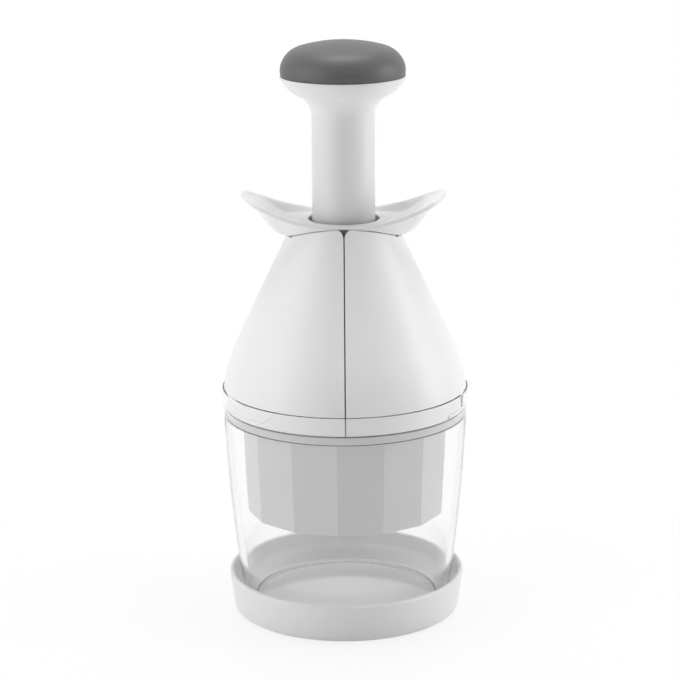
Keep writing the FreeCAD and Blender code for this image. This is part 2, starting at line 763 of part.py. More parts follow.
# Zigzag blade, and the slot and groove that it fits
def zigzag_points(overrun):
    """Corners of the blade's middle line, set out so that its bends end on one circle."""
    bend = size("blade_bend")
    reach = size(GUARD_APOTHEM) - size("blade_inset")
    legs = round(size("blade_legs"))
    step = reach * 2 / (legs + 1)
    corners = []
    for number in range(legs + 1):
        across = (number - legs / 2) * step
        along = math.sqrt(reach * reach - across * across)
        if 0 < number < legs:
            along += bend * (math.hypot(1, 2 * along / step) - 1)
        corners.append(Vector(across, along if number % 2 else -along, 0))
    corners[0] += (corners[0] - corners[1]).normalize() * overrun
    corners[-1] += (corners[-1] - corners[-2]).normalize() * overrun
    return corners


def zigzag_wire(half, overrun, level):
    """The outline of the bent strip: both sides of its middle line, half a thickness away."""
    corners = zigzag_points(overrun)
    bend = size("blade_bend")
    sides = {1: [], -1: []}
    for number in range(1, len(corners) - 1):
        before = (corners[number] - corners[number - 1]).normalize()
        after = (corners[number + 1] - corners[number]).normalize()
        turn = before.cross(after).z
        angle = math.acos(before.dot(after))
        setback = bend * math.tan(angle / 2)
        for side in sides:
            left = Vector(-before.y, before.x, 0) * side * half
            right = Vector(-after.y, after.x, 0) * side * half
            start = corners[number] - before * setback + left
            end = corners[number] + after * setback + right
            centre = start + Vector(-before.y, before.x, 0) * (math.copysign(bend, turn) - side * half)
            radius = (start - centre).Length
            middle = centre + ((start + end) / 2 - centre).normalize() * radius
            sides[side].append((start, middle, end))
    first = (corners[1] - corners[0]).normalize()
    last = (corners[-1] - corners[-2]).normalize()
    lift = Vector(0, 0, level)
    edges = []
    path = {}
    for side in sides:
        start = corners[0] + Vector(-first.y, first.x, 0) * side * half
        end = corners[-1] + Vector(-last.y, last.x, 0) * side * half
        place = start
        for arc in sides[side]:
            edges.append(Part.LineSegment(place + lift, arc[0] + lift).toShape())
            edges.append(Part.Arc(*[point + lift for point in arc]).toShape())
            place = arc[2]
        edges.append(Part.LineSegment(place + lift, end + lift).toShape())
        path[side] = (start, end)
    for number in (0, 1):
        edges.append(Part.LineSegment(path[1][number] + lift, path[-1][number] + lift).toShape())
    return Part.Wire(Part.__sortEdges__(edges))


def zigzag_block(half, overrun, low, high):
    """A strip of even thickness between two levels."""
    face = Part.Face(zigzag_wire(half, overrun, low))
    return face.extrude(Vector(0, 0, high - low))


def zigzag_blade():
    low = size(f"{WIPER_FLOOR} + blade_lift")
    edge = low + size("blade_bevel")
    high = size(f"{CARRIER_FLOOR} + blade_seat")
    half = size("blade_steel") / 2
    strip = zigzag_block(half, 0, edge, high)
    bevel = Part.makeLoft([zigzag_wire(size("blade_tip") / 2, 0, low), zigzag_wire(half, 0, edge)], True, True)
    kept(shaped("zigzag_blade", strip.fuse(bevel).removeSplitter()), "zigzag_blade")


def wiper_disc():
    gap = size("slot_gap")
    low = size(WIPER_FLOOR)
    disc = cylinder("wiper_plate", f"{GUARD_APOTHEM} - wiper_gap", WIPER_FLOOR, "wiper_height")
    slot = zigzag_block(size("blade_steel") / 2 + gap, gap, low - 1, low + size("wiper_height") + 1)
    disc = blend_of("Part::Cut", "wiper_disc", disc, shaped("wiper_slot", slot))
    kept(disc, "wiper_disc")


def blade_carrier():
    low = size(CARRIER_FLOOR)
    disc = cylinder("carrier_plate", f"{GUARD_APOTHEM} - carrier_inset", CARRIER_FLOOR, "carrier_height")
    hub = cylinder("carrier_hub", "hub_radius", CARRIER_TOP, "hub_height")
    groove = shaped("blade_groove", zigzag_block(size("blade_steel") / 2, 0, low - 1, low + size("blade_seat")))
    socket = doc.addObject("Part::Box", "tang_socket")
    for place in ("Length", "Width"):
        bind(socket, place, "spindle_side")
    bind(socket, "Height", "carrier_height + hub_height")
    bind(socket, "Placement.Base.x", "0 - spindle_side / 2")
    bind(socket, "Placement.Base.y", "0 - spindle_side / 2")
    bind(socket, "Placement.Base.z", f"{CARRIER_FLOOR} + tang_inset")
    pin = cross_pin_block("carrier_pin_bore")
    carrier = blend_of("Part::MultiFuse", "carrier_body", disc, hub)
    carrier = blend_of("Part::Cut", "carrier_grooved", carrier, groove)
    carrier = blend_of("Part::Cut", "carrier_socketed", carrier, socket)
    carrier = blend_of("Part::Cut", "blade_carrier", carrier, pin)
    kept(carrier, "blade_carrier")


def cross_pin_block(name):
    pin = doc.addObject("Part::Cylinder", name)
    pin.Placement = Placement(Vector(), Rotation(Vector(0, 1, 0), 90))
    bind(pin, "Radius", "cross_pin_radius")
    bind(pin, "Height", "hub_radius * 1.8")
    bind(pin, "Placement.Base.x", "0 - hub_radius * 0.9")
    bind(pin, "Placement.Base.z", f"{CARRIER_TOP} + hub_height / 2")
    return pin


def carrier_pin():
    kept(cross_pin_block("carrier_pin"), "carrier_pin")


# Twisted spindle and its nut
def twisted_bar(side, low, high):
    """A square bar that turns steadily with height; the turn is zero at the nut's lower face."""
    lead = size("spindle_lead")
    datum = size(f"{BRIDGE_FLOOR} + nut_lip")
    steps = max(2, math.ceil((high - low) / 5))
    sections = []
    for number in range(steps + 1):
        level = low + (high - low) * number / steps
        turn = math.radians(-360 * (level - datum) / lead)
        corners = []
        for quarter in range(5):
            angle = turn + math.radians(45 + 90 * quarter)
            reach = side / math.sqrt(2)
            corners.append(Vector(reach * math.cos(angle), reach * math.sin(angle), level))
        sections.append(Part.makePolygon(corners))
    return Part.makeLoft(sections, True, False)


def turned_solid(corners):
    """A solid turned about Z from straight-sided corners given as (radius, level)."""
    points = [Vector(radius, 0, level) for radius, level in corners]
    face = Part.Face(Part.makePolygon(points + points[:1]))
    return face.revolve(Vector(), Vector(0, 0, 1), 360)


def spindle():
    side = size("spindle_side")
    tang_low = size(f"{CARRIER_FLOOR} + tang_inset")
    twist_low = size(HUB_TOP)
    twist_high = size(f"{BRIDGE_TOP} + press_travel + press_margin")
    shoulder = size(f"{CORE_FLOOR} - bearing_gap")
    journal_top = size(f"{CORE_TOP} + bearing_gap")
    shank = size("shank_radius")
    tang = Part.makeBox(side, side, twist_low - tang_low, Vector(-side / 2, -side / 2, tang_low))
    bore = Part.makeCylinder(size("cross_pin_radius"), size("hub_radius") * 2,
                             Vector(-size("hub_radius"), 0, size(f"{CARRIER_TOP} + hub_height / 2")), Vector(1, 0, 0))
    bar = twisted_bar(side, twist_low, twist_high)
    shaft = turned_solid([
        (0, twist_high),
        (shank, twist_high),
        (shank, shoulder - size("shoulder_height")),
        (shank + size("shoulder_proud"), shoulder - size("shoulder_height")),
        (shank + size("shoulder_proud"), shoulder),
        (size("journal_radius"), shoulder),
        (size("journal_radius"), journal_top),
        (size("screw_radius"), journal_top),
        (size("screw_radius"), journal_top - size("core_drop") / 2),
        (0, journal_top - size("core_drop") / 2),
    ])
    kept(shaped("spindle", tang.cut(bore).fuse([bar, shaft])), "spindle")


def spindle_nut():
    block = doc.addObject("Part::Prism", "nut_block")
    block.Polygon = 6
    bind(block, "Circumradius", "nut_radius")
    bind(block, "Height", "bridge_floor - nut_lip")
    bind(block, "Placement.Base.z", f"{BRIDGE_FLOOR} + nut_lip")
    side = size("spindle_side") + 2 * size("spindle_play")
    hole = twisted_bar(side, size(BRIDGE_FLOOR), size(BRIDGE_TOP) + 1)
    kept(blend_of("Part::Cut", "spindle_nut", block, shaped("nut_hole", hole)), "spindle_nut")


def thrust_washer():
    ring("thrust_washer", "screw_radius", "washer_radius",
         f"{CORE_TOP} + bearing_gap", f"{CORE_TOP} + bearing_gap + washer_height")


def spindle_screw():
    body = new_body("spindle_screw")
    seat = f"({CORE_TOP} + bearing_gap + washer_height)"
    spin(body, "spindle_screw_turn", [
        ("0", f"{CORE_TOP} + bearing_gap - core_drop / 2"),
        ("screw_radius", f"{CORE_TOP} + bearing_gap - core_drop / 2"),
        ("screw_radius", seat),
        ("screw_head", seat),
        ("screw_head", f"{seat} + screw_head_height / 2"),
        ("screw_head * 0.6", f"{seat} + screw_head_height", "screw_head * 0.6"),
        ("0", f"{seat} + screw_head_height"),
    ])


# Return spring and its seat
def spring_seat():
    body = new_body("spring_seat")
    inner = "nut_bore"
    spin(body, "seat_turn", [
        (inner, BRIDGE_TOP),
        (f"{TUBE_BORE} - fit_gap", BRIDGE_TOP),
        (f"{TUBE_BORE} - fit_gap", SEAT_TOP),
        ("spring_radius - spring_wire / 2 - fit_gap", SEAT_TOP),
        ("spring_radius - spring_wire / 2 - fit_gap", f"{SEAT_TOP} + spring_wire * 2"),
        (inner, f"{SEAT_TOP} + spring_wire * 2"),
    ])
    hole = fill_circle(body_sketch(body, "seat_hole_outline", "XY_Plane", lift=SEAT_TOP),
                       SEAT_SCREW_CIRCLE, "0", "seat_screw_radius")
    first = pocket(body, "seat_hole", hole, "seat_plate")
    around(body, "seat_holes", [first], 3)


def thread_holes():
    frame = [piece for piece in PIECES if piece.Label == "inner_frame"][0]
    hole = fill_circle(body_sketch(frame, "thread_hole_outline", "XY_Plane", lift=BRIDGE_TOP),
                       SEAT_SCREW_CIRCLE, "0", "seat_screw_radius")
    first = pocket(frame, "thread_hole", hole, "bridge_floor - nut_lip")
    around(frame, "thread_holes", [first], 3)


def seat_screws():
    screws = []
    for number in range(3):
        angle = 120 * number
        shank = doc.addObject("Part::Cylinder", f"seat_shank_{number}")
        head = doc.addObject("Part::Cylinder", f"seat_head_{number}")
        bind(shank, "Radius", "seat_screw_radius")
        bind(shank, "Height", "seat_plate + bridge_floor - nut_lip")
        bind(shank, "Placement.Base.z", f"{BRIDGE_FLOOR} + nut_lip")
        bind(head, "Radius", "seat_screw_head")
        bind(head, "Height", "seat_screw_height")
        bind(head, "Placement.Base.z", SEAT_TOP)
        for piece in (shank, head):
            bind(piece, "Placement.Base.x", f"{SEAT_SCREW_CIRCLE} * cos({angle})")
            bind(piece, "Placement.Base.y", f"{SEAT_SCREW_CIRCLE} * sin({angle})")
        screws.append(blend_of("Part::Fuse", f"seat_screw_{number}", shank, head))
    group = doc.addObject("Part::Compound", "seat_screws")
    group.Links = screws
    kept(group, "seat_screws")


def biarc(start, end, start_way, end_way):
    """Two arcs that join smoothly and leave along the two given directions."""
    span = end - start
    ways = start_way + end_way
    a = 2 * (start_way.dot(end_way) - 1)
    b = -2 * span.dot(ways)
    c = span.dot(span)
    reach = (-b - math.sqrt(b * b - 4 * a * c)) / (2 * a)
    first = start + start_way * reach
    second = end - end_way * reach
    joint = (first + second) / 2
    arcs = []
    for head, apex, tail in ((start, first, joint), (joint, second, end)):
        middle = (head + tail) / 2
        height = (middle - apex).Length
        radius = reach * (head - middle).Length / height
        peak = apex + (middle - apex) * ((reach * reach / height - radius) / height)
        arcs.append(Part.Arc(head, peak, tail).toShape())
    return arcs


def return_spring():
    radius = size("spring_radius")
    wire = size("spring_wire")
    turns = size("spring_turns")
    low = size(SEAT_TOP) + wire / 2 + size("bearing_gap")
    high = size(CORE_FLOOR) - wire / 2 - size("bearing_gap")
    pitch = (high - low) / turns
    slope = pitch / (2 * math.pi)

    def place(turn):
        return Vector(radius * math.cos(turn), radius * math.sin(turn), low + slope * turn)

    def way(turn):
        return Vector(-radius * math.sin(turn), radius * math.cos(turn), slope).normalize()

    edges = []
    for number in range(round(turns * 4)):
        start = number * math.pi / 2
        end = start + math.pi / 2
        edges.extend(biarc(place(start), place(end), way(start), way(end)))
    section = Part.Wire([Part.Circle(place(0), way(0), wire / 2).toShape()])
    coil = Part.Wire(edges).makePipeShell([section], True, False)
    print("return spring gap to itself", round(pitch * radius / math.hypot(radius, slope) - wire, 2))
    kept(shaped("return_spring", coil), "return_spring")


# Plunger: stem, stop ring, knob core and soft grip
def plunger_stem():
    body = new_body("plunger_stem")
    inner = "(stem_radius - stem_wall)"
    flare = f"({HEAD_TOP} - flare_rise)"
    turn_z = f"({flare} + flare_turn_rise)"
    spin(body, "stem_turn", [
        (inner, STEM_FLOOR),
        ("stem_radius", STEM_FLOOR),
        ("stem_radius", flare),
        ("stem_radius + flare_turn_out", turn_z, "-flare_radius"),
        ("head_radius", f"{HEAD_TOP} - head_land", "flare_crown"),
        ("head_radius", HEAD_TOP),
        ("head_radius - stem_wall - head_seat", HEAD_TOP),
        ("head_radius - stem_wall - head_seat", f"{HEAD_TOP} - head_land"),
        (f"{inner} + flare_turn_out * 0.8", f"{turn_z} + stem_wall * 0.6", "-flare_crown"),
        (inner, f"{flare} + stem_wall", "flare_radius"),
    ])


def stop_ring():
    ring("stop_ring", "stem_radius", f"{TUBE_BORE} - fit_gap", STEM_FLOOR, STOP_TOP)


def knob_core():
    body = new_body("knob_core")
    boss = "(stem_radius - stem_wall - bearing_gap)"
    plate = "(head_radius - head_seat)"
    spin(body, "core_turn", [
        ("journal_radius + bearing_gap", CORE_FLOOR),
        (boss, CORE_FLOOR),
        (boss, HEAD_TOP),
        (plate, HEAD_TOP),
        (plate, CORE_TOP),
        ("journal_radius + bearing_gap", CORE_TOP),
    ])


def knob_grip():
    body = new_body("knob_grip")
    plate = "(head_radius - head_seat)"
    top = f"({HEAD_TOP} + grip_height)"
    side_top = f"({HEAD_TOP} + grip_side)"
    corner_top = f"({side_top} + grip_corner_rise)"
    shoulder = "(grip_radius - grip_corner_in)"
    crown = "(grip_height - grip_side - grip_corner_rise)"
    spin(body, "grip_turn", [
        (plate, HEAD_TOP),
        ("grip_radius", HEAD_TOP),
        ("grip_radius", side_top, "grip_bulge"),
        (shoulder, corner_top, "grip_corner"),
        ("0", top, f"(({shoulder} ^ 2 + {crown} ^ 2) / (2 * {crown}))"),
        ("0", f"{CORE_TOP} + grip_cave_height"),
        ("grip_cave_radius", f"{CORE_TOP} + grip_cave_height"),
        ("grip_cave_radius", CORE_TOP),
        (plate, CORE_TOP),
    ])


# Collar: a saddle-shaped finger rest with two dished wings
def plan_outline(name, inset):
    """The plan of the collar: two long arcs and a round tip on each wing, drawn in by an inset."""
    length = f"(collar_half_length - {inset})"
    width = f"(collar_half_width - {inset})"
    tip = f"(wing_tip_radius - {inset})"
    centre = f"({length} - {tip})"
    long_arc = f"(({centre} ^ 2 + {width} ^ 2 - {tip} ^ 2) / (2 * ({width} - {tip})))"
    across = f"({long_arc} * {centre} / ({long_arc} - {tip}))"
    along = f"(({long_arc} - {width}) * {tip} / ({long_arc} - {tip}))"
    return fill_sketch(loose_sketch(name, False), [
        (across, f"0 - {along}", long_arc),
        (across, along, tip),
        (f"0 - {across}", along, long_arc),
        (f"0 - {across}", f"0 - {along}", tip),
    ])


def rim_radius():
    return "((collar_half_length ^ 2 + wing_rise ^ 2) / (2 * wing_rise))"


def rim_height(across, drop="0"):
    """The height of the saddle-shaped rim, or of an arc that lies a drop below it."""
    return f"({COLLAR_TOP} + {rim_radius()} - sqrt(({rim_radius()} + {drop}) ^ 2 - ({across}) ^ 2))"


def drafted_plan(name, inset):
    """The plan of the collar as a block that narrows downwards."""
    low = plan_outline(f"{name}_low_outline", f"({inset} + hull_draft)")
    high = plan_outline(f"{name}_high_outline", inset)
    bind(low, "Placement.Base.z", f"{SADDLE_TOP} - hull_drop")
    bind(high, "Placement.Base.z", f"{SADDLE_TOP} + wing_rise * 1.2")
    block = doc.addObject("Part::Loft", name)
    block.Sections = [low, high]
    block.Solid = True
    block.Ruled = True
    return block


def collar():
    far = "(collar_half_length + 3)"
    wide = "(collar_half_width + 5)"
    lip = fill_sketch(loose_sketch("lip_outline", True), [
        (f"0 - {far}", rim_height(far, "rim_depth")),
        (far, rim_height(far, "rim_depth"), f"({rim_radius()} + rim_depth)"),
        (far, rim_height(far)),
        (f"0 - {far}", rim_height(far), f"-{rim_radius()}"),
    ])
    lip = prism("lip_side", lip, wide, wide)
    plan = prism("collar_plan", plan_outline("collar_plan_outline", "0"), f"{SADDLE_TOP} + 40")
    lip = blend_of("Part::Common", "lip", lip, plan)

    seat = f"({BELL_TOP_RADIUS} + hull_inset * 1.6)"
    seat_z = f"({saddle_height(seat)} + collar_gap)"
    wing = "wing_depth"
    tip = "(collar_half_length - hull_inset * 2)"
    hull = fill_sketch(loose_sketch("hull_outline", True), [
        (seat, seat_z, "-(saddle_radius + collar_gap)"),
        ("hull_reach", rim_height("hull_reach", wing), "hull_belly"),
        (tip, rim_height(tip, "rim_depth"), "hull_sweep"),
        (tip, rim_height(tip, "rim_depth / 2")),
        (f"0 - {tip}", rim_height(tip, "rim_depth / 2"), f"-({rim_radius()} + rim_depth / 2)"),
        (f"0 - {tip}", rim_height(tip, "rim_depth")),
        ("0 - hull_reach", rim_height("hull_reach", wing), "hull_sweep"),
        (f"0 - {seat}", seat_z, "hull_belly"),
    ])
    hull = prism("hull_side", hull, wide, wide)
    hull = blend_of("Part::Common", "hull", hull, drafted_plan("hull_plan", "hull_inset"))
    body = blend_of("Part::Fuse", "collar_blank", lip, hull)

    floor = fill_sketch(loose_sketch("floor_outline", True), [
        (f"0 - {far}", rim_height(far, "rim_lip")),
        (far, rim_height(far, "rim_lip"), f"({rim_radius()} + rim_lip)"),
        (far, f"{COLLAR_TOP} + wing_rise * 3"),
        (f"0 - {far}", f"{COLLAR_TOP} + wing_rise * 3"),
    ])
    floor = prism("floor_side", floor, wide, wide)
    inside = prism("floor_plan", plan_outline("floor_plan_outline", "lip_width"), f"{SADDLE_TOP} + wing_rise * 4")
    body = blend_of("Part::Cut", "collar_floored", body, blend_of("Part::Common", "rim_floor", floor, inside))

    end = "dish_reach"
    end_z = f"({rim_height(end)} - rim_lip - dish_edge_depth)"
    deep = f"({end_z} - {COLLAR_TOP} + dish_depth)"
    hollow = fill_sketch(loose_sketch("hollow_outline", True), [
        (end, end_z, f"(({end} ^ 2 + {deep} ^ 2) / (2 * {deep}))"),
        (end, f"{COLLAR_TOP} + wing_rise * 3"),
        (f"0 - {end}", f"{COLLAR_TOP} + wing_rise * 3"),
        (f"0 - {end}", end_z),
    ])
    hollow = prism("hollow_side", hollow, wide, wide)
    within_hull = drafted_plan("hollow_plan", "(hull_inset + hull_wall)")
    hollow = blend_of("Part::Common", "hollow", hollow, within_hull)
    boss = doc.addObject("Part::Cone", "collar_boss")
    bind(boss, "Radius1", "boss_radius + boss_slope * 4")
    bind(boss, "Radius2", "boss_radius - boss_slope * 4")
    bind(boss, "Height", "wing_rise * 2")
    bind(boss, "Placement.Base.z", f"{COLLAR_TOP} - wing_rise")
    hollow = blend_of("Part::Cut", "wing_hollows", hollow, boss)
    body = blend_of("Part::Cut", "collar_hollowed", body, hollow)
    crest = doc.addObject("Part::Cone", "collar_crest")
    bind(crest, "Radius1", "boss_radius")
    bind(crest, "Radius2", "boss_radius + wing_rise")
    bind(crest, "Height", "wing_rise")
    bind(crest, "Placement.Base.z", f"{COLLAR_TOP} - rim_lip")
    crest = blend_of("Part::Common", "boss_top", crest, within_hull)

    hole = cylinder("collar_hole", "tube_radius - tube_lip + fit_gap / 2", f"{COLLAR_SEAT} - wing_rise * 2", "wing_rise * 6")
    counterbore = cylinder("collar_counterbore", "tube_radius + fit_gap / 2", f"{COLLAR_SEAT} - wing_rise * 2", "wing_rise * 2")
    body = blend_of("Part::Cut", "collar_bored", body, hole)
    body = blend_of("Part::Cut", "collar_seated", body, counterbore)
    body = blend_of("Part::Cut", "collar_levelled", body, crest)
    saddle = doc.addObject("Part::Cylinder", "saddle_seat")
    saddle.Placement = Placement(Vector(), Rotation(Vector(1, 0, 0), 90))
    bind(saddle, "Radius", "saddle_radius + collar_gap")
    bind(saddle, "Height", f"{wide} * 2")
    bind(saddle, "Placement.Base.y", wide)
    bind(saddle, "Placement.Base.z", f"{SADDLE_TOP} - saddle_radius")
    body = blend_of("Part::Cut", "collar_saddled", body, saddle)
    cavity = doc.addObject("Part::Box", "hinge_cavity")
    bind(cavity, "Length", "(tube_radius + cavity_reach) * 2")
    bind(cavity, "Width", "cavity_half_width * 2")
    bind(cavity, "Height", "wing_rise * 2")
    bind(cavity, "Placement.Base.x", "0 - tube_radius - cavity_reach")
    bind(cavity, "Placement.Base.y", "0 - cavity_half_width")
    bind(cavity, "Placement.Base.z", f"{HINGE_Z} + cavity_roof - wing_rise * 2")
    body = blend_of("Part::Cut", "collar", body, cavity)
    kept(body, "collar")


base_dish()
anti_slip_ring()
cup()
half_shell("left_shell", -1)
half_shell("right_shell", 1)
inner_frame()
hinge_pins()
guide_bush()
blade_guard()
spindle_nut()
spring_seat()
thread_holes()
seat_screws()
return_spring()
plunger_stem()
stop_ring()
knob_core()
knob_grip()
spindle()
thrust_washer()
spindle_screw()
blade_carrier()
carrier_pin()
zigzag_blade()
wiper_disc()
collar()
doc.recompute()

# Every object is sound before anything is written
faults = []
for item in doc.Objects:
    if "Invalid" in item.State or "Error" in item.State:
        faults.append(f"{item.Label} did not build")
for piece in PIECES:
    if piece.Shape.isNull() or not piece.Shape.isValid() or not piece.Shape.Solids:
        faults.append(f"{piece.Label} has no sound solid")
if faults:
    raise RuntimeError(", ".join(faults))

os.makedirs("parts", exist_ok=True)
for piece in PIECES:
    piece.Shape.exportStep(f"parts/{piece.Label}.step")
    box = piece.Shape.BoundBox
    print(f"{piece.Label:16} {piece.Shape.Volume:10.1f} mm3, Z {box.ZMin:6.1f} to {box.ZMax:6.1f}")
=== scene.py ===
import json
import math

import bmesh
import bpy
from mathutils import Matrix, Vector


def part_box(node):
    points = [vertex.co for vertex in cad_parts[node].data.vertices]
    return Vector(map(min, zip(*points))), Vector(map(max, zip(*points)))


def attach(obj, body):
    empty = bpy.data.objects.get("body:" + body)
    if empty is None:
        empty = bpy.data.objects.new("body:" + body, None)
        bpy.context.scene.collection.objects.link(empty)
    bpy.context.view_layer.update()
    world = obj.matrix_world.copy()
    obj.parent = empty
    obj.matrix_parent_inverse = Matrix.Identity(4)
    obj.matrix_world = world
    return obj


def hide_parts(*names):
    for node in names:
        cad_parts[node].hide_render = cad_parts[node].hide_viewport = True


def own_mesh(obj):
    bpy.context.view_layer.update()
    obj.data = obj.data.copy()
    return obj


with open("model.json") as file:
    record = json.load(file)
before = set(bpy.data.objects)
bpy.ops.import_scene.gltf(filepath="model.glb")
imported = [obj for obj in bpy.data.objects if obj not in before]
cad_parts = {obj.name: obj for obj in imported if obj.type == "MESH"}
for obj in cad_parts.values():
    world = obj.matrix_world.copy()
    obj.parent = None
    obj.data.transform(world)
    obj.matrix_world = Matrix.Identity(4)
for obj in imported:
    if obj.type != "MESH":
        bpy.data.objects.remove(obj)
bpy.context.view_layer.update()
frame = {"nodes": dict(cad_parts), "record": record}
nodes = frame["nodes"]
MM = 0.001


# Helpers for shader nodes and objects

def new_group(name, inputs, outputs):
    """An empty shader group with number inputs {name: default} and number outputs [name]."""
    group = bpy.data.node_groups.new(name, "ShaderNodeTree")
    for label, value in inputs.items():
        socket = group.interface.new_socket(label, in_out="INPUT", socket_type="NodeSocketFloat")
        socket.default_value = value
    for label in outputs:
        group.interface.new_socket(label, in_out="OUTPUT", socket_type="NodeSocketFloat")
    way_in = group.nodes.new("NodeGroupInput")
    way_out = group.nodes.new("NodeGroupOutput")
    return group, way_in, way_out


def add(tree, kind, **settings):
    """A node with its properties set."""
    node = tree.nodes.new(kind)
    for key, value in settings.items():
        setattr(node, key, value)
    return node


def set_inputs(node, values):
    """Sets a node's inputs {name: value}."""
    for label, value in values.items():
        node.inputs[label].default_value = value


def wire(tree, source, target):
    """A link from an output to an input."""
    tree.links.new(source, target)


def calculate(tree, operation, *values):
    """The result of a Math node on outputs and plain numbers."""
    node = add(tree, "ShaderNodeMath", operation=operation)
    for socket, value in zip(node.inputs, values):
        if isinstance(value, bpy.types.NodeSocket):
            wire(tree, value, socket)
        else:
            socket.default_value = value
    return node.outputs[0]


def any_ray(tree, *kinds):
    """1 for a ray of any of these kinds, else 0."""
    light_path = add(tree, "ShaderNodeLightPath")
    found = light_path.outputs[kinds[0]]
    for kind in kinds[1:]:
        found = calculate(tree, "MAXIMUM", found, light_path.outputs[kind])
    return found


def show_mix(tree, share, first, second):
    """Shows a mix of two shaders, which is the second one where the share is 1."""
    mix = add(tree, "ShaderNodeMixShader")
    wire(tree, share, mix.inputs["Fac"])
    wire(tree, first.outputs[0], mix.inputs[1])
    wire(tree, second.outputs[0], mix.inputs[2])
    wire(tree, mix.outputs[0], tree.nodes["Material Output"].inputs["Surface"])


def new_material(name):
    """A material with its node tree and its shader."""
    material = bpy.data.materials.new(name)
    material.use_nodes = True
    tree = material.node_tree
    return material, tree, tree.nodes["Principled BSDF"]


def put_in_scene(name, data):
    """An object that shows the data, at the origin."""
    thing = bpy.data.objects.new(name, data)
    bpy.context.scene.collection.objects.link(thing)
    return thing


def mesh_piece(name, bm):
    """An object with the bmesh's shape."""
    mesh = bpy.data.meshes.new(name)
    bm.to_mesh(mesh)
    bm.free()
    return put_in_scene(name, mesh)


# Finishes of the chopper

PLASTIC_IOR = 1.49
NOISE_MEAN = 0.5

# Sockets of a Mix node that mixes colours
FIRST_COLOUR = 6
SECOND_COLOUR = 7
MIXED_COLOUR = 2


def moulded_group():
    """Moulded plastic: a faint tone drift, a fine grain height and a roughness that varies a little."""
    group, way_in, way_out = new_group(
        "moulded surface",
        {"Grain Size": 0.6, "Drift": 0.03, "Gloss Spread": 0.04, "Roughness": 0.35},
        ["Tone", "Roughness", "Height"],
    )
    place = add(group, "ShaderNodeTexCoord").outputs["Object"]
    grain = add(group, "ShaderNodeTexNoise")
    set_inputs(grain, {"Detail": 3.0, "Roughness": 0.55})
    wire(group, place, grain.inputs["Vector"])
    grains_per_metre = calculate(group, "DIVIDE", 1.0 / MM, way_in.outputs["Grain Size"])
    wire(group, grains_per_metre, grain.inputs["Scale"])
    cloud = add(group, "ShaderNodeTexNoise")
    set_inputs(cloud, {"Scale": 38.0, "Detail": 2.0})
    wire(group, place, cloud.inputs["Vector"])
    sway = calculate(group, "SUBTRACT", cloud.outputs["Fac"], NOISE_MEAN)
    tone = calculate(group, "MULTIPLY_ADD", sway, way_in.outputs["Drift"], 1.0)
    spread = way_in.outputs["Gloss Spread"]
    rough = calculate(group, "MULTIPLY_ADD", sway, spread, way_in.outputs["Roughness"])
    wire(group, tone, way_out.inputs["Tone"])
    wire(group, rough, way_out.inputs["Roughness"])
    wire(group, grain.outputs["Fac"], way_out.inputs["Height"])
    return group


MOULDED = moulded_group()


def moulded_surface(tree, shader, values, depth):
    """Gives a shader the moulded group's roughness and its grain, as a relief with a depth in mm."""
    surface = add(tree, "ShaderNodeGroup", node_tree=MOULDED)
    set_inputs(surface, values)
    wire(tree, surface.outputs["Roughness"], shader.inputs["Roughness"])
    relief = add(tree, "ShaderNodeBump")
    relief.inputs["Distance"].default_value = depth * MM
    wire(tree, surface.outputs["Height"], relief.inputs["Height"])
    wire(tree, relief.outputs["Normal"], shader.inputs["Normal"])
    return surface


def drifting_colour(tree, shader, colour, tone):
    """Gives a shader the colour times a tone that varies over the surface."""
    mix = add(tree, "ShaderNodeMix", data_type="RGBA", blend_type="MULTIPLY")
    mix.inputs["Factor"].default_value = 1.0
    mix.inputs[FIRST_COLOUR].default_value = (*colour, 1.0)
    wire(tree, tone, mix.inputs[SECOND_COLOUR])
    wire(tree, mix.outputs[MIXED_COLOUR], shader.inputs["Base Color"])


def moulded_plastic(name, colour, roughness, grain=0.6, depth=0.05):
    """White or grey moulded plastic with a fine grain, its size and depth in mm."""
    material, tree, shader = new_material(name)
    shader.inputs["IOR"].default_value = PLASTIC_IOR
    surface = moulded_surface(tree, shader, {"Grain Size": grain, "Roughness": roughness}, depth)
    drifting_colour(tree, shader, colour, surface.outputs["Tone"])
    return material


def clear_plastic(name, colour, roughness):
    """Clear moulded plastic with a faint waviness, which lets the lamps' light through."""
    material, tree, shader = new_material(name)
    shader.inputs["Base Color"].default_value = (*colour, 1.0)
    set_inputs(shader, {"IOR": PLASTIC_IOR, "Transmission Weight": 1.0})
    waves = {"Grain Size": 14.0, "Roughness": roughness, "Gloss Spread": roughness}
    moulded_surface(tree, shader, waves, 0.01)
    passing = add(tree, "ShaderNodeBsdfTransparent")
    show_mix(tree, any_ray(tree, "Is Shadow Ray", "Is Diffuse Ray"), shader, passing)
    return material


def drawn_steel(name, colour, roughness):
    """Steel strip or wire with a fine grain."""
    material, tree, shader = new_material(name)
    shader.inputs["Metallic"].default_value = 1.0
    scratches = {"Grain Size": 0.25, "Drift": 0.08, "Roughness": roughness, "Gloss Spread": 0.10}
    surface = moulded_surface(tree, shader, scratches, 0.02)
    drifting_colour(tree, shader, colour, surface.outputs["Tone"])
    return material


